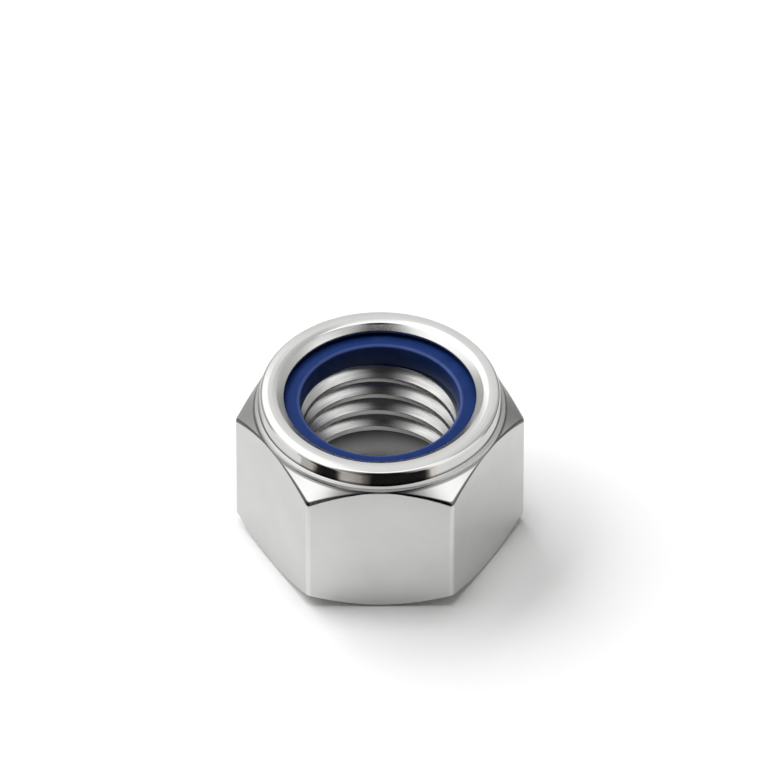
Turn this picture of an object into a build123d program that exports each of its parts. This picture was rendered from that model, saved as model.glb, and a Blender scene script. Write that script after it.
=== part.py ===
from build123d import *
from build123d.topology import SkipClean
from math import ceil, cos, floor, hypot, radians, tan
import os

# Nylon insert lock nut, M12 x 1.5 on a 17 mm hexagon.
# Frame: the nut stands on its bearing face at z = 0, its axis is Z, and two flats face along Y.
# All sizes are in millimetres.

# Hexagon
wall_at_flats = 2.50
flat_height = 10.49
corner_round = 0.38
top_chamfer_angle = 39.5
bottom_chamfer_angle = 33.0
bottom_circle_inset = 0.20
chamfer_edge_round = 0.10

# Collar: the narrow step between the hexagon and the crown
collar_inset = 0.04
collar_height = 0.41
collar_edge_round = 0.05

# Crown: the thin wall that holds the insert, leaning inwards
crown_inset = 0.24
crown_height = 1.10
crown_lean_angle = 5.0
crown_wall = 0.94
crown_foot_round = 0.08
crown_outer_round = 0.50

# Lip: the crown's upper edge, rolled inwards over the insert
shoulder_width = 0.68
shoulder_fall_angle = 10.0
shoulder_round = 1.20
land_width = 0.45
land_inner_round = 0.34
lip_slope_run = 0.50
lip_slope_drop = 0.45
lip_edge_thickness = 0.20
lip_edge_round = 0.08
recess_corner_round = 0.25

# Thread
thread_diameter = 12.0
thread_pitch = 1.5
thread_angle = 60.0
crest_foot_height = 3.185
sectors_per_turn = 6

# Relief: the plain mouth below the thread
relief_depth = 3.50
relief_clearance = 0.10
relief_mouth_chamfer = 0.25

# Nylon insert
insert_thickness = 1.68
insert_top_fall = 0.25
insert_grip = 0.62
insert_fit_clearance = 0.02
insert_lip_gap = 0.15
insert_edge_round = 0.25
insert_shoulder_round = 0.30

# Radii that follow from the sizes above
major_radius = thread_diameter / 2
flat_radius = major_radius + wall_at_flats
corner_radius = flat_radius / cos(radians(30))
collar_radius = flat_radius - collar_inset
crown_radius = collar_radius - crown_inset
crown_edge_radius = crown_radius - crown_height * tan(radians(crown_lean_angle))
land_outer_radius = crown_edge_radius - shoulder_width
land_inner_radius = land_outer_radius - land_width
lip_edge_radius = land_inner_radius - lip_slope_run
recess_radius = crown_radius - crown_wall
sharp_thread_height = thread_pitch / 2 / tan(radians(thread_angle / 2))
minor_radius = major_radius - 5 / 8 * sharp_thread_height
relief_radius = major_radius + relief_clearance
insert_radius = recess_radius - insert_fit_clearance
insert_bore_radius = major_radius - insert_grip

# Heights that follow from the sizes above
collar_top = flat_height + collar_height
crown_top = collar_top + crown_height
crown_edge_height = crown_top - shoulder_width * tan(radians(shoulder_fall_angle))
lip_edge_height = crown_top - lip_slope_drop
lip_under_height = lip_edge_height - lip_edge_thickness
insert_top = lip_under_height - insert_lip_gap
insert_seat = insert_top - insert_thickness


def corner_at(sketch, radius, height):
    """The corner of a section that lies nearest to a radius and a height."""
    place = Vector(radius, height)
    return min(sketch.vertices(), key=lambda v: (Vector(v.X, v.Y) - place).length)


def rounded(sketch, rounds):
    """A section with each listed corner (radius, height, rounding) rounded."""
    for radius, height, rounding in rounds:
        sketch = fillet(corner_at(sketch, radius, height), rounding)
    return sketch


def turned(sketch):
    """The solid that a section in the XY plane makes, turned round the Z axis."""
    return revolve(Plane.XZ * sketch, Axis.Z, 360)


def turned_blank():
    """The turned outline: bearing face, both chamfers, collar, crown, rolled lip and recess."""
    reach = corner_radius + 1
    bottom_circle = flat_radius - bottom_circle_inset
    bottom_rise = (reach - bottom_circle) * tan(radians(bottom_chamfer_angle))
    top_fall = (reach - flat_radius) * tan(radians(top_chamfer_angle))
    collar_foot = flat_height + collar_inset * tan(radians(top_chamfer_angle))
    section = make_face(
        Polyline(
            (0, 0),
            (bottom_circle, 0),
            (reach, bottom_rise),
            (reach, flat_height - top_fall),
            (collar_radius, collar_foot),
            (collar_radius, collar_top),
            (crown_radius, collar_top),
            (crown_edge_radius, crown_edge_height),
            (land_outer_radius, crown_top),
            (land_inner_radius, crown_top),
            (lip_edge_radius, lip_edge_height),
            (lip_edge_radius, lip_under_height),
            (recess_radius, lip_under_height),
            (recess_radius, insert_seat),
            (0, insert_seat),
            (0, 0),
        )
    )
    section = rounded(
        section,
        [
            (collar_radius, collar_top, collar_edge_round),
            (crown_radius, collar_top, crown_foot_round),
            (crown_edge_radius, crown_edge_height, crown_outer_round),
            (land_outer_radius, crown_top, shoulder_round),
            (land_inner_radius, crown_top, land_inner_round),
            (lip_edge_radius, lip_edge_height, lip_edge_round),
            (recess_radius, lip_under_height, recess_corner_round),
        ],
    )
    return turned(section)


def hexagon_bar():
    """The hexagon bar that the turned outline is kept within, its long edges rounded."""
    outline = RegularPolygon(flat_radius, 6, major_radius=False)
    outline = fillet(outline.vertices(), corner_round)
    return extrude(outline, crown_top)


def relief():
    """The plain, wider mouth at the bearing face, where the thread stops."""
    mouth = relief_radius + relief_mouth_chamfer
    section = make_face(
        Polyline(
            (0, 0),
            (mouth, 0),
            (relief_radius, relief_mouth_chamfer),
            (relief_radius, relief_depth),
            (0, relief_depth),
            (0, 0),
        )
    )
    return turned(section)


def bore_sector(index):
    """One sector of the bore at the thread's crest, so that each crest face is a short arc."""
    step = 360 / sectors_per_turn
    length = insert_seat - relief_depth
    seat = (Align.NONE, Align.NONE, Align.MIN)
    sector = Cylinder(minor_radius, length, arc_size=step, align=seat)
    return Pos(0, 0, relief_depth) * Rot(0, 0, index * step) * sector


def groove_corners():
    """The corners (radius, height) of the thread groove's section over the +X side."""
    slope = tan(radians(thread_angle / 2))
    overcut = thread_pitch / 20
    crest_flat = thread_pitch / 4
    root_flat = thread_pitch / 8
    middle = crest_foot_height - (thread_pitch - crest_flat) / 2
    inner_half = (thread_pitch - crest_flat) / 2 + overcut * slope
    outer_half = root_flat / 2
    return [
        (minor_radius - overcut, middle - inner_half),
        (major_radius, middle - outer_half),
        (major_radius, middle + outer_half),
        (minor_radius - overcut, middle + inner_half),
    ]


def groove_segment(index):
    """One sector's length of the groove between two crests, bounded by four helices."""
    step = 360 / sectors_per_turn
    rise = thread_pitch / sectors_per_turn
    helices = []
    for radius, height in groove_corners():
        edge = Edge.make_helix(thread_pitch, rise, radius, center=(0, 0, height + index * rise))
        helices.append(edge.rotate(Axis.Z, index * step))
    sides = [Face.make_surface_from_curves(a, b) for a, b in zip(helices, helices[1:] + helices[:1])]
    ends = [Face(Wire.make_polygon([edge @ place for edge in helices])) for place in (0, 1)]
    return Solid(Shell(sides + ends))


def thread_groove():
    """The groove's segments, from just below the thread's lower end to just above its upper end."""
    rise = thread_pitch / sectors_per_turn
    heights = [height for _, height in groove_corners()]
    first = floor((relief_depth - max(heights)) / rise) - 1
    last = ceil((insert_seat - min(heights)) / rise)
    return [groove_segment(index) for index in range(first, last + 1)]


def softened(blank):
    """The blank with the curved edges between its flats and its two chamfers slightly rounded."""
    edges = []
    for edge in blank.edges():
        ends = [edge @ 0, edge @ 1]
        if edge.geom_type != GeomType.LINE and min(hypot(end.X, end.Y) for end in ends) > flat_radius:
            edges.append(edge)
    return fillet(edges, chamfer_edge_round)


def nut_body():
    """The steel nut, in one piece with its collar, crown and rolled-in lip."""
    body = softened(hexagon_bar() & turned_blank())
    body -= relief()
    with SkipClean():
        for index in range(sectors_per_turn):
            body -= bore_sector(index)
        body -= thread_groove()
    return body


def nylon_insert():
    """The blue ring that grips the bolt, seated in the recess under the rolled lip."""
    section = make_face(
        Polyline(
            (insert_bore_radius, insert_seat),
            (insert_radius, insert_seat),
            (insert_radius, insert_top - insert_top_fall),
            (insert_bore_radius, insert_top),
            (insert_bore_radius, insert_seat),
        )
    )
    section = rounded(
        section,
        [
            (insert_bore_radius, insert_top, insert_edge_round),
            (insert_radius, insert_top - insert_top_fall, insert_shoulder_round),
        ],
    )
    return turned(section)


parts = {"nut_body": nut_body, "nylon_insert": nylon_insert}

os.makedirs("parts", exist_ok=True)
for name, make in parts.items():
    piece = make()
    piece.label = name
    export_step(piece, f"parts/{name}.step")
    print(name, "volume", round(piece.volume, 1), "box", piece.bounding_box())
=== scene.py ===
from math import atan2, cos, pi, radians, sin, sqrt, tan

import bmesh
import bpy
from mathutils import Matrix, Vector

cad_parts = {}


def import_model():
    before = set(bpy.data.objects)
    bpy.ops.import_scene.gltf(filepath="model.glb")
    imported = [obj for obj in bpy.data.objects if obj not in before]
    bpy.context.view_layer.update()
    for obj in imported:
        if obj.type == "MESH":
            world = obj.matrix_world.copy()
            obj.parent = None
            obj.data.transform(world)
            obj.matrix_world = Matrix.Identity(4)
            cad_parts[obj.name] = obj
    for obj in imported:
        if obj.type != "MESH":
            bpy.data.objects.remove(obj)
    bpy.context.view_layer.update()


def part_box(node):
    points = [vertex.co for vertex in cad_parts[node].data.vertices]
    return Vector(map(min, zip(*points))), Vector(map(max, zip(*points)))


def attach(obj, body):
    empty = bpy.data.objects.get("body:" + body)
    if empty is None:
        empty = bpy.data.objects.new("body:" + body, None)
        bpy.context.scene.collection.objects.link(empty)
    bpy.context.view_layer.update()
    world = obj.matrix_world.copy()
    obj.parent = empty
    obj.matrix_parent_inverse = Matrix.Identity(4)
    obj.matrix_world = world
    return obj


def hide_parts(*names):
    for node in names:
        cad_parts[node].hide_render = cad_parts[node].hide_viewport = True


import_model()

# Lengths are in millimetres unless a name says otherwise, and angles in degrees.
MM = 0.001

# Photograph
IMAGE_SIZE = 760
ORIGIN_IN_IMAGE_Y = 520.4
FOCAL_PIXELS = 14985.0
SENSOR_WIDTH = 36.0
CAMERA_ELEVATION = 43.27
CAMERA_DISTANCE = 1020.0

# Sizes read from the frame
NUT_HIGH = Vector(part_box("nut_body")[1]) / MM
RING_LOW, RING_HIGH = [Vector(corner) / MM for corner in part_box("nylon_insert")]
FLAT_RADIUS = NUT_HIGH.y
CORNER_REACH = NUT_HIGH.x
CROWN_TOP = NUT_HIGH.z
RING_RADIUS = RING_HIGH.x
RING_SEAT = RING_LOW.z

# Hexagon
HALF_SIDE_ANGLE = 30
SHARP_CORNER = FLAT_RADIUS / cos(radians(HALF_SIDE_ANGLE))
CORNER_ROUND = (SHARP_CORNER - CORNER_REACH) / (1 / cos(radians(HALF_SIDE_ANGLE)) - 1)
CORNER_CENTRE = (FLAT_RADIUS - CORNER_ROUND) / cos(radians(HALF_SIDE_ANGLE))
FLAT_HEIGHT = 10.49
TOP_CHAMFER_ANGLE = 39.5
BOTTOM_CHAMFER_ANGLE = 33.0
BOTTOM_CIRCLE = FLAT_RADIUS - 0.20
MIDDLE_EDGE_ROUND = 0.22
CORNER_EDGE_ROUND = 0.56
BOTTOM_EDGE_ROUND = 0.10
BEARING_FACE_ROUND = 0.06

# Collar
COLLAR_RADIUS = FLAT_RADIUS - 0.04
COLLAR_TOP = FLAT_HEIGHT + 0.41
COLLAR_TOP_FALL = 0.11
COLLAR_FOOT_ROUND = 0.12
COLLAR_EDGE_ROUND = 0.05

# Crown
CROWN_RADIUS = COLLAR_RADIUS - 0.24
CROWN_LEAN_ANGLE = 5.0
CROWN_EDGE_RADIUS = CROWN_RADIUS - (CROWN_TOP - COLLAR_TOP) * tan(radians(CROWN_LEAN_ANGLE))
CROWN_FOOT_ROUND = 0.08
CROWN_OUTER_ROUND = 0.28
SHOULDER_WIDTH = 0.68
SHOULDER_FALL_ANGLE = 10.0
SHOULDER_ROUND = 1.20
CROWN_EDGE_HEIGHT = CROWN_TOP - SHOULDER_WIDTH * tan(radians(SHOULDER_FALL_ANGLE))

# Lip
LAND_OUTER_RADIUS = CROWN_EDGE_RADIUS - SHOULDER_WIDTH
LAND_INNER_RADIUS = LAND_OUTER_RADIUS - 0.45
LAND_FALL = 0.12
LAND_INNER_ROUND = 0.34
LIP_RADIUS = LAND_INNER_RADIUS - 0.50
LIP_HEIGHT = CROWN_TOP - 0.45
LIP_UNDERSIDE = LIP_HEIGHT - 0.20
LIP_UPPER_ROUND = 0.08
LIP_LOWER_ROUND = 0.04
RECESS_RADIUS = RING_RADIUS + 0.02
RECESS_CORNER_ROUND = 0.25

# Thread
PITCH = 1.5
THREAD_ANGLE = 60
MAJOR_RADIUS = 6.0
MINOR_RADIUS = MAJOR_RADIUS - 5 / 8 * PITCH / 2 / tan(radians(THREAD_ANGLE / 2))
CREST_FOOT = 3.185
TURNS_ABOVE = 6
TURNS_BELOW = 3
CREST_FLAT = PITCH / 4
ROOT_FLAT = PITCH / 8
CREST_ROUND = 0.05
ROOT_ROUND = 0.09

# Relief
RELIEF_DEPTH = 3.50
RELIEF_RADIUS = MAJOR_RADIUS + 0.10
RELIEF_MOUTH = 0.25

# Nylon ring
RING_TOP = LIP_UNDERSIDE - 0.15
RING_SHOULDER = RING_TOP - 0.25
RING_BORE = MAJOR_RADIUS - 0.62
RING_EDGE_ROUND = 0.25
RING_SHOULDER_ROUND = 0.30
RING_FOOT_ROUND = 0.05

# Mesh: columns, the share of a side that a rounding may take, tolerances, and the smallest sharp angle
COLUMNS_PER_FLAT = 40
COLUMNS_PER_CORNER = 8
RING_COLUMNS = 256
LARGEST_ROUND_SHARE = 0.45
TINY = 1e-6
TANGENT_MARGIN = 1e-9
MERGE_DISTANCE = 0.0004
SHARP_ANGLE = 40

# Steel: its plating with its painted light and shade, what its zones add to the polished crown's roughness
# and line depth in millimetres, and how far each zone passes to the dull colour, from 0 to 1, which is
# painted shade in all but the collar
PLATING_DARKER = (0.68, 0.68, 0.67, 1)
PLATING_PALER = (0.73, 0.73, 0.72, 1)
# Painted light: the plain relief, and a little of it the long edges between the flats, take this paler
# plating.
PLATING_PAINTED_LIGHT = (0.97, 0.97, 0.96, 1)
# Painted shade: the darkened edges, seam, crown foot, lip edge, thread and relief top pass to this colour,
# and the collar takes a little of it.
PLATING_DULL_AND_SHADE = (0.05, 0.05, 0.048, 1)
POLISHED_ROUGHNESS = 0.09
POLISHED_LINE_DEPTH = 0.0012
ROUGHNESS = {"flat": 0.21, "facet": 0.11, "satin": 0.13, "plain": 0.25, "collar": 0.32}
LINE_DEPTH = {"flat": 0.0006, "inside": 0.0010, "facet": 0.0012}
DULLNESS_AND_PAINTED_SHADE = {"edge": 0.86, "seam": 0.65, "foot": 0.75, "collar": 0.16, "lip_edge": 0.60, "relief_top": 0.96}
# Painted highlight: how far the long edges between the flats pass to the paler plating.
LONG_EDGE_PAINTED_HIGHLIGHT = 0.35
RELIEF_SHADE_MARGIN = 0.6

# Noise: the middle of its range, and its scales on the steel, per millimetre or per radian round the axis
NOISE_MIDDLE = (0.3, 0.7)
GRAIN_SCALES = (0.15, 0.15, 9.0)
TURNED_SCALES = (9.0, 1.5, 9.0)
STREAK_SCALES = (3.2, 2.0, 3.2)
WEAR_SCALES = (2.6, 14.0, 2.6)
CLOUD_SCALE = 0.32

# Nylon
NYLON_DARKER = (0.008, 0.027, 0.124, 1)
NYLON_PALER = (0.013, 0.036, 0.152, 1)
# Painted highlight colour for the rim of the ring's bore.
NYLON_PAINTED_HIGHLIGHT = (0.085, 0.12, 0.31, 1)
NYLON_SPECULAR = 0.12
MOTTLE_SCALE = 0.9
PORE_SCALE = 5.0
PORE_STRENGTH = 0.25
PORE_DEPTH = 0.004

# Floor: half its width, and how grey it is to all but the camera
FLOOR_HALF = 65.0
FLOOR_LEVEL = 0.84

# Dark card round the nut's front: its azimuths, and where it turns pale at its ends and in a streak
CARD_RADIUS = 21.5
CARD_BOTTOM = 2.0
CARD_TOP = 14.0
CARD_STEPS = 40
CARD_LEFT = -62
CARD_RIGHT = 42
CARD_MIDDLE = -8
CARD_PALE_FROM = 40
CARD_PALE_TO = 46
CARD_STREAK = (-33, -27, -24, -6)
CARD_RAGGEDNESS = 9
CARD_RAGGED_SCALE = 0.22
CARD_DARK = (0.01, 0.01, 0.01, 1)
CARD_PALE = (0.90, 0.84, 0.78, 1)

# Bright parts of the studio: left and right azimuth, low and high elevation, soft edge and level
STUDIO_WINDOWS = [
    (-168, -46, 32, 120, 8, 1.50),
    (-104, -58, -30, 36, 6, 1.05),
    (44, 98, -30, 50, 6, 1.05),
    (50, 86, 36, 56, 6, 1.45),
]

# Levels of the studio's other parts, and of the even light from the world
WALL_LEFT_LEVEL = 0.42
WALL_RIGHT_LEVEL = 0.24
UPPER_WALL_LEVEL = 0.60
BEHIND_LOW_LEVEL = 0.80
BEHIND_HIGH_LEVEL = 0.96
CEILING_LEVEL = 0.95
STRIP_LEVEL = 1.55
FRONT_LEFT_LEVEL = 0.30
FRONT_LEVEL = 0.01
AMBIENT_LEVEL = 0.27
AMBIENT_LOSS_AHEAD = 0.8

# Lamps
LAMP_DISTANCE_M = 2.0
WHITE = (1, 1, 1)
WARM_WHITE = (1.0, 0.975, 0.93)


def rounded_profile(corners):
    """Points (radius, height) along a section whose corners are (radius, height, rounding, steps)."""
    points = []
    for index, (radius, height, rounding, steps) in enumerate(corners):
        corner = Vector((radius, height))
        if not steps:
            points.append(corner)
            continue
        before = Vector(corners[index - 1][:2]) - corner
        after = Vector(corners[(index + 1) % len(corners)][:2]) - corner
        half_angle = before.angle(after, pi) / 2
        longest = LARGEST_ROUND_SHARE * min(before.length, after.length)
        reach = min(rounding / tan(half_angle), longest)
        start = before.normalized() * reach
        end = after.normalized() * reach
        middle = start + end
        if middle.length < TINY:
            points.extend([corner] * (steps + 1))
            continue
        centre = middle.normalized() * reach / cos(half_angle)
        arc_radius = (start - centre).length
        for step in range(steps + 1):
            arm = (start - centre).slerp(end - centre, step / steps)
            points.append(corner + centre + arm.normalized() * arc_radius)
    return points


def hexagon_radius(angle):
    """Distance from the axis to the rounded hexagon, at an angle in radians from a corner."""
    half_side = radians(HALF_SIDE_ANGLE)
    offset = abs((angle + half_side) % (2 * half_side) - half_side)
    on_flat = FLAT_RADIUS / cos(half_side - offset)
    aside = CORNER_CENTRE * sin(offset)
    if aside < CORNER_ROUND * sin(half_side) * (1 - TANGENT_MARGIN):
        on_arc = CORNER_CENTRE * cos(offset) + sqrt(CORNER_ROUND**2 - aside**2)
        return min(on_arc, on_flat)
    return on_flat


def column_angles():
    """Angles of the nut's mesh columns once round, closer together at the six rounded corners."""
    side_angle = 2 * HALF_SIDE_ANGLE
    angles = []
    for side in range(6):
        middle = radians(side_angle * side)
        for step in range(COLUMNS_PER_CORNER + 1):
            turn = radians(side_angle * step / COLUMNS_PER_CORNER - HALF_SIDE_ANGLE)
            aside = CORNER_ROUND * sin(turn)
            outwards = CORNER_CENTRE + CORNER_ROUND * cos(turn)
            angles.append(middle + atan2(aside, outwards))
        half_corner = angles[-1] - middle
        span = radians(side_angle) - 2 * half_corner
        for step in range(1, COLUMNS_PER_FLAT):
            angles.append(middle + half_corner + span * step / COLUMNS_PER_FLAT)
    return angles + [angles[0] + 2 * pi]


def thread_corners(angle):
    """Corners of the thread's section at an angle, from above the seat down to below the relief."""
    corners = []
    turn = CREST_FOOT + PITCH * angle / (2 * pi)
    for index in range(TURNS_ABOVE, -TURNS_BELOW - 1, -1):
        foot = turn + index * PITCH
        groove = foot - (PITCH - CREST_FLAT) / 2
        corners.append((MINOR_RADIUS, foot + CREST_FLAT, CREST_ROUND, 2))
        corners.append((MINOR_RADIUS, foot, CREST_ROUND, 2))
        corners.append((MAJOR_RADIUS, groove + ROOT_FLAT / 2, ROOT_ROUND, 2))
        corners.append((MAJOR_RADIUS, groove - ROOT_FLAT / 2, ROOT_ROUND, 2))
    return corners


def clamped(points, top, bottom):
    """A downward run of points cut off at two heights, with the cut-off ones gathered at the cuts."""

    def radius_at(height):
        for upper, lower in zip(points, points[1:]):
            if upper.y >= height >= lower.y and upper.y > lower.y:
                return upper.x + (lower.x - upper.x) * (upper.y - height) / (upper.y - lower.y)
        return points[0].x

    top_point = Vector((radius_at(top), top))
    bottom_point = Vector((radius_at(bottom), bottom))
    run = []
    for point in points:
        run.append(top_point if point.y >= top else bottom_point if point.y <= bottom else point)
    return run


def nut_section(angle):
    """The nut's closed section at an angle: relief, bearing face, flat, collar, crown, lip, thread."""
    reach = hexagon_radius(angle)
    bottom_rise = (reach - BOTTOM_CIRCLE) * tan(radians(BOTTOM_CHAMFER_ANGLE))
    top_fall = (reach - FLAT_RADIUS) * tan(radians(TOP_CHAMFER_ANGLE))
    collar_foot = FLAT_HEIGHT + (FLAT_RADIUS - COLLAR_RADIUS) * tan(radians(TOP_CHAMFER_ANGLE))
    towards_corner = (reach - FLAT_RADIUS) / (CORNER_REACH - FLAT_RADIUS)
    edge_round = MIDDLE_EDGE_ROUND + (CORNER_EDGE_ROUND - MIDDLE_EDGE_ROUND) * towards_corner
    outside = rounded_profile(
        [
            (RELIEF_RADIUS, RELIEF_DEPTH, 0, 0),
            (RELIEF_RADIUS, RELIEF_MOUTH, BEARING_FACE_ROUND, 2),
            (RELIEF_RADIUS + RELIEF_MOUTH, 0, BEARING_FACE_ROUND, 2),
            (BOTTOM_CIRCLE, 0, BEARING_FACE_ROUND, 2),
            (reach, bottom_rise, BOTTOM_EDGE_ROUND, 4),
            (reach, FLAT_HEIGHT - top_fall, edge_round, 6),
            (COLLAR_RADIUS, collar_foot, COLLAR_FOOT_ROUND, 4),
            (COLLAR_RADIUS, COLLAR_TOP - COLLAR_TOP_FALL, COLLAR_EDGE_ROUND, 4),
            (CROWN_RADIUS, COLLAR_TOP, CROWN_FOOT_ROUND, 4),
            (CROWN_EDGE_RADIUS, CROWN_EDGE_HEIGHT, CROWN_OUTER_ROUND, 12),
            (LAND_OUTER_RADIUS, CROWN_TOP, SHOULDER_ROUND, 6),
            (LAND_INNER_RADIUS, CROWN_TOP - LAND_FALL, LAND_INNER_ROUND, 6),
            (LIP_RADIUS, LIP_HEIGHT, LIP_UPPER_ROUND, 4),
            (LIP_RADIUS, LIP_UNDERSIDE, LIP_LOWER_ROUND, 2),
            (RECESS_RADIUS, LIP_UNDERSIDE, RECESS_CORNER_ROUND, 4),
            (RECESS_RADIUS, RING_SEAT, 0, 0),
        ]
    )
    thread = clamped(rounded_profile(thread_corners(angle)), RING_SEAT, RELIEF_DEPTH)
    return outside + thread


def ring_section(angle):
    """The nylon ring's closed section, which is the same at every angle."""
    return rounded_profile(
        [
            (RING_BORE, RING_SEAT, RING_FOOT_ROUND, 2),
            (RING_RADIUS, RING_SEAT, RING_FOOT_ROUND, 2),
            (RING_RADIUS, RING_SHOULDER, RING_SHOULDER_ROUND, 5),
            (RING_BORE, RING_TOP, RING_EDGE_ROUND, 8),
        ]
    )


def turned_mesh(name, section, angles):
    """A closed mesh whose section at each angle is given by a function, merged at the seam."""
    mesh = bmesh.new()
    columns = []
    for angle in angles:
        column = []
        for point in section(angle):
            place = Vector((point.x * cos(angle), point.x * sin(angle), point.y)) * MM
            column.append(mesh.verts.new(place))
        columns.append(column)
    for left, right in zip(columns, columns[1:]):
        for row in range(len(left)):
            below = row - 1
            mesh.faces.new((left[below], right[below], right[row], left[row]))
    bmesh.ops.remove_doubles(mesh, verts=mesh.verts, dist=MERGE_DISTANCE * MM)
    bmesh.ops.recalc_face_normals(mesh, faces=mesh.faces)
    data = bpy.data.meshes.new(name)
    mesh.to_mesh(data)
    mesh.free()
    data.shade_smooth()
    data.set_sharp_from_angle(angle=radians(SHARP_ANGLE))
    obj = bpy.data.objects.new(name, data)
    bpy.context.collection.objects.link(obj)
    weighted = obj.modifiers.new("face_weighted_normals", "WEIGHTED_NORMAL")
    weighted.keep_sharp = True
    return obj


class Nodes:
    """Short calls for building a node tree. A value is a number, a colour or another node's output."""

    def __init__(self, tree):
        self.tree = tree

    def set(self, node, socket, value):
        """Feeds a value into a node's input, which is given by name or by number."""
        if isinstance(value, bpy.types.NodeSocket):
            self.tree.links.new(value, node.inputs[socket])
        else:
            node.inputs[socket].default_value = value

    def add(self, kind, inputs=None, **settings):
        node = self.tree.nodes.new(kind)
        for name, value in settings.items():
            setattr(node, name, value)
        for socket, value in (inputs or {}).items():
            self.set(node, socket, value)
        return node

    def math(self, operation, *values):
        return self.add("ShaderNodeMath", dict(enumerate(values)), operation=operation).outputs[0]

    def plus(self, a, b):
        return self.math("ADD", a, b)

    def minus(self, a, b):
        return self.math("SUBTRACT", a, b)

    def times(self, a, b):
        return self.math("MULTIPLY", a, b)

    def size_of(self, a):
        return self.math("ABSOLUTE", a)

    def ramp(self, value, start, end, smooth=True):
        """Passes from 0 at the start to 1 at the end, and stays level on either side."""
        curve = "SMOOTHSTEP" if smooth else "LINEAR"
        inputs = {"Value": value, "From Min": start, "From Max": end}
        return self.add("ShaderNodeMapRange", inputs, interpolation_type=curve).outputs[0]

    def band(self, value, rise_start, rise_end, fall_start, fall_end):
        """1 within a range of values and 0 on either side, with two soft edges."""
        return self.minus(self.ramp(value, rise_start, rise_end), self.ramp(value, fall_start, fall_end))

    def between(self, value, low, high):
        """A value from 0 to 1, spread between two numbers."""
        return self.add("ShaderNodeMapRange", {"Value": value, "To Min": low, "To Max": high}).outputs[0]

    def shift(self, value, mask, other):
        """One value, or the other where the mask is 1."""
        return self.plus(value, self.times(mask, self.minus(other, value)))

    def blend(self, mask, first, second):
        """The first colour, or the second where the mask is 1."""
        return self.add("ShaderNodeMix", {0: mask, 6: first, 7: second}, data_type="RGBA").outputs[2]

    def split(self, vector):
        """The three coordinates of a vector."""
        return self.add("ShaderNodeSeparateXYZ", {0: vector}).outputs

    def coordinates(self, kind):
        return self.add("ShaderNodeTexCoord").outputs[kind]

    def place(self):
        """The place on an object, in millimetres."""
        inputs = {0: self.coordinates("Object"), "Scale": 1 / MM}
        return self.add("ShaderNodeVectorMath", inputs, operation="SCALE").outputs[0]

    def radius(self, x, y):
        """Distance from the axis."""
        return self.math("SQRT", self.plus(self.times(x, x), self.times(y, y)))

    def noise(self, place, scale, detail):
        inputs = {"Vector": place, "Scale": scale, "Detail": detail}
        return self.add("ShaderNodeTexNoise", inputs).outputs[0]

    def stretched_noise(self, coordinates, scales, detail):
        """Noise that has its own scale along each of three coordinates."""
        scaled = [self.times(coordinate, scale) for coordinate, scale in zip(coordinates, scales)]
        place = self.add("ShaderNodeCombineXYZ", dict(enumerate(scaled))).outputs[0]
        return self.noise(place, 1.0, detail)

    def mottled(self, noise, first, second):
        """A colour that passes from the first to the second over the middle of a noise's range."""
        node = self.add("ShaderNodeValToRGB", {0: noise})
        for element, position, colour in zip(node.color_ramp.elements, NOISE_MIDDLE, (first, second)):
            element.position = position
            element.color = colour
        return node.outputs[0]

    def bump(self, height, strength, distance):
        inputs = {"Height": height, "Strength": strength, "Distance": distance}
        return self.add("ShaderNodeBump", inputs).outputs[0]


def new_material(name):
    """A material with its node builder and its shader."""
    material = bpy.data.materials.new(name)
    material.use_nodes = True
    nodes = Nodes(material.node_tree)
    return material, nodes, material.node_tree.nodes["Principled BSDF"]


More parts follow.
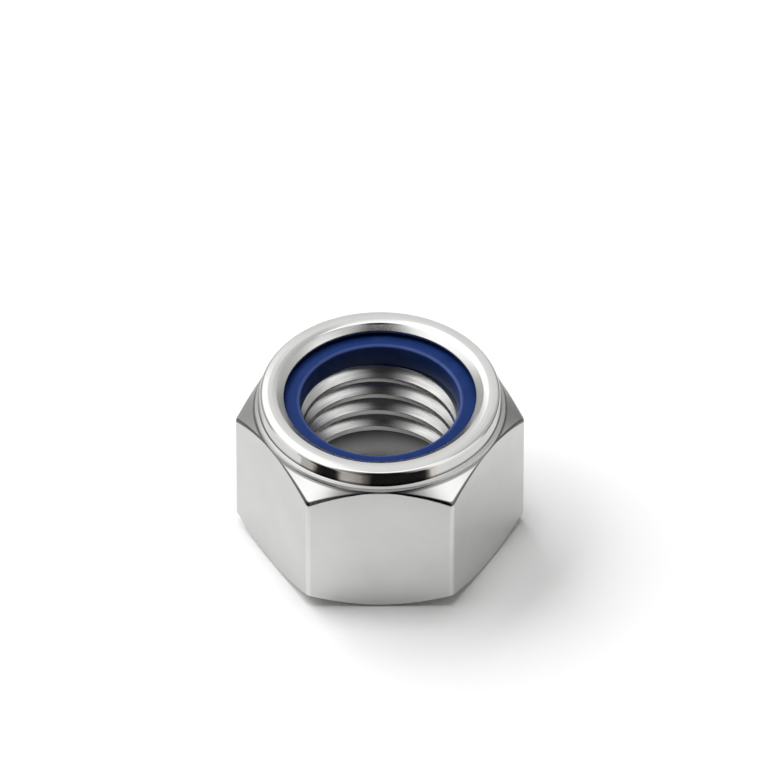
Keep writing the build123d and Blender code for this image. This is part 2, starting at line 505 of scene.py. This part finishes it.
def steel_zones(nodes, radius, z, tilt):
    """Masks of the nut's surfaces, by radius, height and how far the normal tilts up or down."""
    zones = {}

    # Flats and chamfer facets, with the rounding between them and the long edges between the flats
    outer = nodes.ramp(radius, FLAT_RADIUS - 0.03, FLAT_RADIUS - 0.01)
    zones["flat"] = nodes.times(nodes.ramp(tilt, 0.35, 0.15), outer)
    zones["facet"] = nodes.minus(outer, zones["flat"])
    # Painted shade: the rounded edges above and below the facets turn darker through this mask, standing in
    # for a dark reflection.
    zones["edge"] = nodes.times(nodes.band(tilt, 0.05, 0.20, 0.56, 0.73), outer)
    # Painted highlight: the long edges between the flats turn paler through this mask.
    zones["long_edge"] = nodes.ramp(radius, CORNER_REACH - 0.07, CORNER_REACH - 0.02)

    # Collar, the seam between it and the facets, and the crown's foot on it
    # Painted shade: the seam between the collar and the facets turns darker through this mask.
    seam_height = nodes.size_of(nodes.minus(z, FLAT_HEIGHT + 0.02))
    seam_radius = nodes.size_of(nodes.minus(radius, FLAT_RADIUS - 0.01))
    zones["seam"] = nodes.ramp(nodes.math("MAXIMUM", seam_height, seam_radius), 0.14, 0.05)
    beyond_crown = nodes.ramp(radius, CROWN_RADIUS + 0.02, CROWN_RADIUS + 0.08)
    zones["collar"] = nodes.times(nodes.ramp(z, FLAT_HEIGHT + 0.07, FLAT_HEIGHT + 0.13), beyond_crown)
    crown_wall = nodes.minus(nodes.ramp(radius, CROWN_RADIUS - 0.15, CROWN_RADIUS - 0.08), beyond_crown)
    # Painted shade: the crown's foot on the collar turns darker through this mask, as shade in a groove.
    foot = nodes.band(z, COLLAR_TOP - 0.03, COLLAR_TOP + 0.02, COLLAR_TOP + 0.08, COLLAR_TOP + 0.25)
    zones["foot"] = nodes.times(foot, crown_wall)

    # Everything inside the land: the lip's slope with its edge, the thread and the plain relief
    zones["satin"] = nodes.ramp(radius, LAND_INNER_RADIUS, LAND_INNER_RADIUS - 0.20)
    zones["inside"] = nodes.ramp(radius, RELIEF_RADIUS + 0.30, RELIEF_RADIUS + 0.10)
    zones["lip"] = nodes.minus(zones["satin"], zones["inside"])
    # Painted shade: the lip's edge turns darker through this mask, for the shadow under the lip.
    zones["lip_edge"] = nodes.times(zones["lip"], nodes.ramp(radius, LIP_RADIUS + 0.05, LIP_RADIUS + 0.01))
    low = nodes.ramp(z, RELIEF_DEPTH, RELIEF_DEPTH - 0.02, smooth=False)
    zones["plain"] = nodes.times(zones["inside"], low)
    zones["tapped"] = nodes.minus(zones["inside"], zones["plain"])
    # Painted shade: the relief turns darker towards its top, under the thread.
    shade = nodes.ramp(z, RELIEF_SHADE_MARGIN, RELIEF_DEPTH - RELIEF_SHADE_MARGIN)
    zones["relief_top"] = nodes.times(zones["plain"], shade)
    return zones


def steel():
    """Zinc plate: grained flats, a polished crown, satin collar and lip, a streaky tapped thread, and
    painted shade and light on its edges and in its hollows.
    """
    material, nodes, shader = new_material("plated_steel")
    place = nodes.place()
    x, y, z = nodes.split(place)
    radius = nodes.radius(x, y)
    round_place = (radius, nodes.math("ARCTAN2", y, x), z)
    tilt = nodes.size_of(nodes.split(nodes.coordinates("Normal"))[2])
    zones = steel_zones(nodes, radius, z, tilt)

    grain = nodes.stretched_noise((x, y, z), GRAIN_SCALES, 3.0)
    turned = nodes.stretched_noise(round_place, TURNED_SCALES, 2.0)
    streaks = nodes.stretched_noise(round_place, STREAK_SCALES, 3.0)
    wear = nodes.stretched_noise(round_place, WEAR_SCALES, 3.0)
    cloud = nodes.noise(place, CLOUD_SCALE, 3.0)

    lines = nodes.shift(turned, zones["flat"], grain)
    depth = POLISHED_LINE_DEPTH * MM
    for zone, added in LINE_DEPTH.items():
        depth = nodes.plus(depth, nodes.times(zones[zone], added * MM))
    nodes.set(shader, "Normal", nodes.bump(nodes.times(lines, depth), 1.0, 1.0))

    roughness = nodes.plus(POLISHED_ROUGHNESS, nodes.between(cloud, -0.02, 0.04))
    roughness = nodes.plus(roughness, nodes.times(zones["lip"], nodes.between(wear, -0.02, 0.12)))
    for zone, added in ROUGHNESS.items():
        roughness = nodes.plus(roughness, nodes.times(zones[zone], added))
    nodes.set(shader, "Roughness", roughness)

    # Painted shade: the tapped thread darkens in random streaks down the bore, and each zone in the table
    # darkens by its share.
    dull_and_painted_shade = nodes.times(zones["tapped"], nodes.between(streaks, -0.20, 0.70))
    for zone, share in DULLNESS_AND_PAINTED_SHADE.items():
        dull_and_painted_shade = nodes.math("MAXIMUM", dull_and_painted_shade, nodes.times(zones[zone], share))
    # Painted light in the plain relief and a painted highlight on the long edges, in a paler plating.
    painted_light = nodes.math("MAXIMUM", zones["plain"], nodes.times(zones["long_edge"], LONG_EDGE_PAINTED_HIGHLIGHT))
    plating = nodes.blend(painted_light, nodes.mottled(cloud, PLATING_DARKER, PLATING_PALER), PLATING_PAINTED_LIGHT)
    nodes.set(shader, "Base Color", nodes.blend(dull_and_painted_shade, plating, PLATING_DULL_AND_SHADE))
    nodes.set(shader, "Metallic", 1.0)
    return material


def nylon():
    """Dark blue moulded nylon, satin, with a painted highlight on the rim of its bore."""
    material, nodes, shader = new_material("blue_nylon")
    place = nodes.place()
    radius = nodes.radius(*nodes.split(place)[:2])
    mottle = nodes.noise(place, MOTTLE_SCALE, 4.0)
    # Painted highlight: a paler, mottled band round the top of the bore's rim.
    rim = nodes.band(radius, RING_BORE + 0.02, RING_BORE + 0.07, RING_BORE + 0.10, RING_BORE + 0.30)
    rim = nodes.times(rim, nodes.between(mottle, 0.5, 1.0))
    blue = nodes.mottled(mottle, NYLON_DARKER, NYLON_PALER)
    nodes.set(shader, "Base Color", nodes.blend(rim, blue, NYLON_PAINTED_HIGHLIGHT))
    nodes.set(shader, "Roughness", nodes.between(mottle, 0.36, 0.48))
    nodes.set(shader, "Specular IOR Level", NYLON_SPECULAR)
    pores = nodes.noise(place, PORE_SCALE, 2.0)
    nodes.set(shader, "Normal", nodes.bump(pores, PORE_STRENGTH, PORE_DEPTH * MM))
    return material


def stage_mesh(name, vertices, faces):
    """A mesh with its own matt material, for the floor and the card."""
    data = bpy.data.meshes.new(name)
    data.from_pydata(vertices, [], faces)
    obj = bpy.data.objects.new(name, data)
    bpy.context.collection.objects.link(obj)
    material, nodes, shader = new_material(name)
    nodes.set(shader, "Roughness", 1.0)
    nodes.set(shader, "Specular IOR Level", 0.0)
    data.materials.append(material)
    return obj, nodes, shader


def floor():
    """The floor: white to the camera, and a little greyer in reflections and in the light it gives back."""
    half = FLOOR_HALF * MM
    vertices = [(-half, -half, 0), (half, -half, 0), (half, half, 0), (-half, half, 0)]
    _, nodes, shader = stage_mesh("floor", vertices, [(0, 1, 2, 3)])
    seen = nodes.add("ShaderNodeLightPath").outputs["Is Camera Ray"]
    nodes.set(shader, "Base Color", nodes.between(seen, FLOOR_LEVEL, 1.0))


def dark_card():
    """A dark card bent round the nut's front, seen in its reflections alone."""
    vertices = []
    for step in range(CARD_STEPS + 1):
        azimuth = radians(CARD_LEFT + (CARD_RIGHT - CARD_LEFT) * step / CARD_STEPS)
        for height in (CARD_BOTTOM, CARD_TOP):
            vertices.append(Vector((CARD_RADIUS * sin(azimuth), -CARD_RADIUS * cos(azimuth), height)) * MM)
    faces = [(2 * step, 2 * step + 2, 2 * step + 3, 2 * step + 1) for step in range(CARD_STEPS)]
    obj, nodes, shader = stage_mesh("dark_card", vertices, faces)
    obj.visible_camera = False
    obj.visible_diffuse = False
    obj.visible_shadow = False
    obj.visible_transmission = False

    place = nodes.place()
    x, y, z = nodes.split(place)
    ragged = radians(CARD_RAGGEDNESS)
    shifts = nodes.between(nodes.noise(place, CARD_RAGGED_SCALE, 2.0), -ragged, ragged)
    azimuth = nodes.plus(nodes.math("ARCTAN2", x, nodes.times(y, -1.0)), shifts)
    from_middle = nodes.size_of(nodes.minus(azimuth, radians(CARD_MIDDLE)))
    ends = nodes.ramp(from_middle, radians(CARD_PALE_FROM), radians(CARD_PALE_TO))
    streak = nodes.band(azimuth, *[radians(angle) for angle in CARD_STREAK])
    pale = nodes.math("MAXIMUM", ends, nodes.times(streak, nodes.ramp(z, 3.0, 4.4)))
    nodes.set(shader, "Base Color", nodes.blend(pale, CARD_DARK, CARD_PALE))


def studio(nodes, x, ahead, z):
    """Brightness of the room that the steel mirrors, by direction: right, towards the front and up."""
    azimuth = nodes.math("ARCTAN2", x, ahead)
    elevation = nodes.math("ARCSINE", z)

    def rising(value, start, end):
        return nodes.ramp(value, radians(start), radians(end))

    def within(value, low, high, edge):
        return nodes.minus(rising(value, low - edge, low + edge), rising(value, high - edge, high + edge))

    # Walls, darker to the right and paler behind, below a bright ceiling
    room = nodes.between(rising(azimuth, -20, 20), WALL_LEFT_LEVEL, WALL_RIGHT_LEVEL)
    room = nodes.shift(room, rising(elevation, 8, 22), UPPER_WALL_LEVEL)
    behind = nodes.between(rising(elevation, 0, 45), BEHIND_LOW_LEVEL, BEHIND_HIGH_LEVEL)
    room = nodes.shift(room, rising(nodes.size_of(azimuth), 142, 168), behind)
    room = nodes.shift(room, rising(elevation, 60, 78), CEILING_LEVEL)

    for left, right, low, high, edge, level in STUDIO_WINDOWS:
        mask = nodes.times(within(azimuth, left, right, edge), within(elevation, low, high, edge))
        room = nodes.shift(room, mask, level)

    # A bright strip across the ceiling, and the dark side where the camera stands
    strip = nodes.times(nodes.band(ahead, -0.36, -0.26, 0.08, 0.16), rising(elevation, 58, 70))
    room = nodes.shift(room, strip, STRIP_LEVEL)
    dark = nodes.times(within(azimuth, -38, 32, 12), nodes.ramp(ahead, 0.10, 0.26))
    front = nodes.between(rising(azimuth, -30, -8), FRONT_LEFT_LEVEL, FRONT_LEVEL)
    return nodes.shift(room, dark, front)


def world():
    """White to the camera and a studio to reflections. The rest is an even light, weaker from the front."""
    scene_world = bpy.data.worlds.new("world")
    bpy.context.scene.world = scene_world
    scene_world.use_nodes = True
    nodes = Nodes(scene_world.node_tree)
    background = scene_world.node_tree.nodes["Background"]
    x, y, z = nodes.split(nodes.coordinates("Generated"))
    ahead = nodes.times(y, -1.0)
    loss = nodes.times(nodes.ramp(ahead, 0.08, 0.30), AMBIENT_LOSS_AHEAD)
    level = nodes.times(AMBIENT_LEVEL, nodes.minus(1.0, loss))
    path = nodes.add("ShaderNodeLightPath").outputs
    level = nodes.shift(level, path["Is Glossy Ray"], studio(nodes, x, ahead, z))
    level = nodes.shift(level, path["Is Camera Ray"], 1.0)
    nodes.set(background, "Strength", level)
    nodes.set(background, "Color", (1, 1, 1, 1))


def softbox(name, azimuth, elevation, width, height, radiance, colour):
    """A lamp that lights the floor and the nylon and isn't mirrored, with its size as angles.

    Azimuths run from the front, positive to the right.
    """
    data = bpy.data.lights.new(name, "AREA")
    data.shape = "RECTANGLE"
    data.size = 2 * LAMP_DISTANCE_M * tan(radians(width / 2))
    data.size_y = 2 * LAMP_DISTANCE_M * tan(radians(height / 2))
    data.energy = radiance * pi * data.size * data.size_y
    data.color = colour
    obj = bpy.data.objects.new(name, data)
    turn = radians(azimuth)
    rise = radians(elevation)
    towards = Vector((sin(turn) * cos(rise), -cos(turn) * cos(rise), sin(rise)))
    obj.location = towards * LAMP_DISTANCE_M
    obj.rotation_euler = towards.to_track_quat("Z", "Y").to_euler()
    obj.visible_glossy = False
    bpy.context.collection.objects.link(obj)


def camera():
    """The photograph's camera, square to one flat, and turned up so that the nut stands low in it."""
    turned_up = atan2(ORIGIN_IN_IMAGE_Y - IMAGE_SIZE / 2, FOCAL_PIXELS)
    elevation = radians(CAMERA_ELEVATION)
    data = bpy.data.cameras.new("camera")
    data.sensor_width = SENSOR_WIDTH
    data.lens = FOCAL_PIXELS / IMAGE_SIZE * SENSOR_WIDTH
    data.clip_start = 0.01
    data.clip_end = 20
    obj = bpy.data.objects.new("camera", data)
    obj.location = Vector((0, -cos(elevation), sin(elevation))) * CAMERA_DISTANCE * MM
    obj.rotation_euler = (radians(90) - elevation + turned_up, 0, 0)
    bpy.context.collection.objects.link(obj)
    bpy.context.scene.camera = obj


def dress(piece, node, material):
    """A finished piece that stands for a node of the frame."""
    piece.data.materials.append(material)
    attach(piece, "root")
    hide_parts(node)


ring_angles = [2 * pi * step / RING_COLUMNS for step in range(RING_COLUMNS + 1)]
dress(turned_mesh("nut", nut_section, column_angles()), "nut_body", steel())
dress(turned_mesh("locking_ring", ring_section, ring_angles), "nylon_insert", nylon())

camera()
floor()
dark_card()
world()
softbox("key_left_back", -126, 52, 46, 32, 4.5, WHITE)
softbox("overhead", 180, 89, 26, 26, 5.0, WHITE)
softbox("right_side", 88, 33, 70, 44, 0.15, WARM_WHITE)
softbox("left_front", -85, 38, 44, 50, 0.7, WHITE)

bpy.context.scene.view_settings.view_transform = "Standard"
